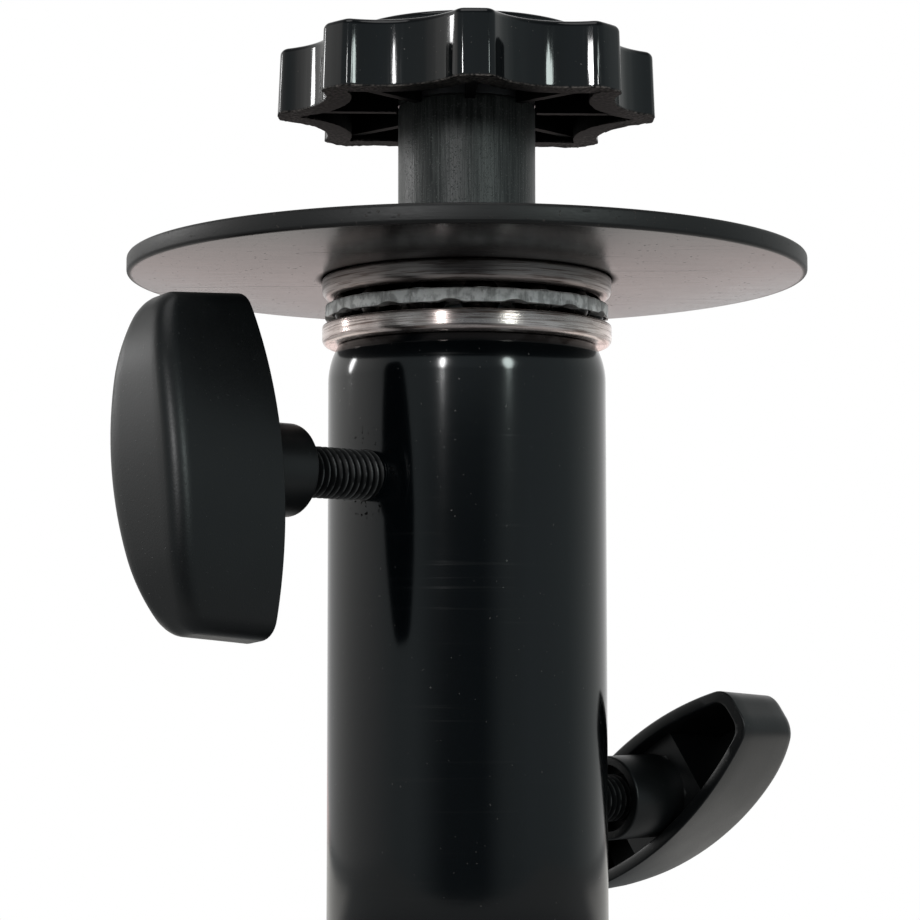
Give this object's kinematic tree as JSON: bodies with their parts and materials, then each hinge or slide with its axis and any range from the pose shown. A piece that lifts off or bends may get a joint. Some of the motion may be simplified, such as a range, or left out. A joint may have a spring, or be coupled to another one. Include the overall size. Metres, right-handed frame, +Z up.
{
  "type": "stand swivel head",
  "caption": "Black swivel head for a stand: a sleeve clamped to a pole by wing screws carries a round plate that turns on an open thrust ball bearing under a star knob.",
  "frame": {"origin": "centre of the sleeve's mouth, where the pole goes in", "axes": "+Z up along the sleeve and the swivel axis; the wing screws lie along X, the upper one towards -X"},
  "size_m": [0.1282, 0.11, 0.1556],
  "materials": {
    "sleeve_gloss_black": "gloss black enamel",
    "plate_satin_black": "satin black",
    "post_matt_black": "matt black over drawn tube",
    "race_steel": "ground bearing steel",
    "cage_steel": "dull pressed steel",
    "ball_steel": "polished steel",
    "plain_steel": "zinc plated",
    "knob_gloss_plastic": "high-gloss black",
    "wing_satin_plastic": "satin black",
    "screw_black_steel": "blackened steel",
    "insert_brass": "plain"
  },
  "bodies": {
    "sleeve": {"sleeve_tube": "sleeve_gloss_black", "end_plug": "plain_steel", "centre_bolt": "plain_steel", "lock_washer": "plain_steel", "lower_bearing_washer": "race_steel"},
    "ball_set": {"ball_cage": "cage_steel", "bearing_balls": "ball_steel"},
    "turntable": {"upper_bearing_washer": "race_steel", "support_plate": "plate_satin_black", "spacer_post": "post_matt_black"},
    "knob_washer": {"friction_washer": "plain_steel"},
    "knob": {"star_knob": "knob_gloss_plastic", "knob_insert": "insert_brass", "knob_cap": "knob_gloss_plastic"},
    "upper_tip": {"upper_pressure_tip": "insert_brass"},
    "upper_screw": {"upper_wing_handle": "wing_satin_plastic", "upper_clamp_screw": "screw_black_steel"},
    "lower_tip": {"lower_pressure_tip": "insert_brass"},
    "lower_screw": {"lower_wing_handle": "wing_satin_plastic", "lower_clamp_screw": "screw_black_steel"}
  },
  "joints": [
    {"name": "plate_swivel", "type": "hinge", "parent": "sleeve", "child": "turntable", "pos_m": [0, 0, 0.116], "axis": [0, 0, 1], "continuous": true},
    {"name": "ball_orbit", "type": "hinge", "parent": "sleeve", "child": "ball_set", "pos_m": [0, 0, 0.1105], "axis": [0, 0, 1], "continuous": true},
    {"name": "knob_lift", "type": "slide", "parent": "sleeve", "child": "knob_washer", "axis": [0, 0, 1], "range_m": [0, 0.00601]},
    {"name": "knob_turn", "type": "hinge", "parent": "knob_washer", "child": "knob", "pos_m": [0, 0, 0.146], "axis": [0, 0, 1], "range_deg": [0, 1440]},
    {"name": "upper_screw_advance", "type": "slide", "parent": "sleeve", "child": "upper_tip", "axis": [1, 0, 0], "range_m": [-0.00063, 0.01501]},
    {"name": "upper_screw_turn", "type": "hinge", "parent": "upper_tip", "child": "upper_screw", "pos_m": [-0.03, 0, 0.083], "axis": [1, 0, 0], "range_deg": [-180, 4320]},
    {"name": "lower_screw_advance", "type": "slide", "parent": "sleeve", "child": "lower_tip", "axis": [-1, 0, 0], "range_m": [-0.00501, 0.01001]},
    {"name": "lower_screw_turn", "type": "hinge", "parent": "lower_tip", "child": "lower_screw", "pos_m": [0.03, 0, 0.0309], "axis": [-1, 0, 0], "range_deg": [-1440, 2880]}
  ],
  "couplings": [
    {"joint": "ball_orbit", "follows": "plate_swivel", "ratio": 0.5},
    {"joint": "knob_lift", "follows": "knob_turn", "m_per_rad": 0.00023873},
    {"joint": "upper_screw_advance", "follows": "upper_screw_turn", "m_per_rad": 0.00019894},
    {"joint": "lower_screw_advance", "follows": "lower_screw_turn", "m_per_rad": 0.00019894}
  ]
}
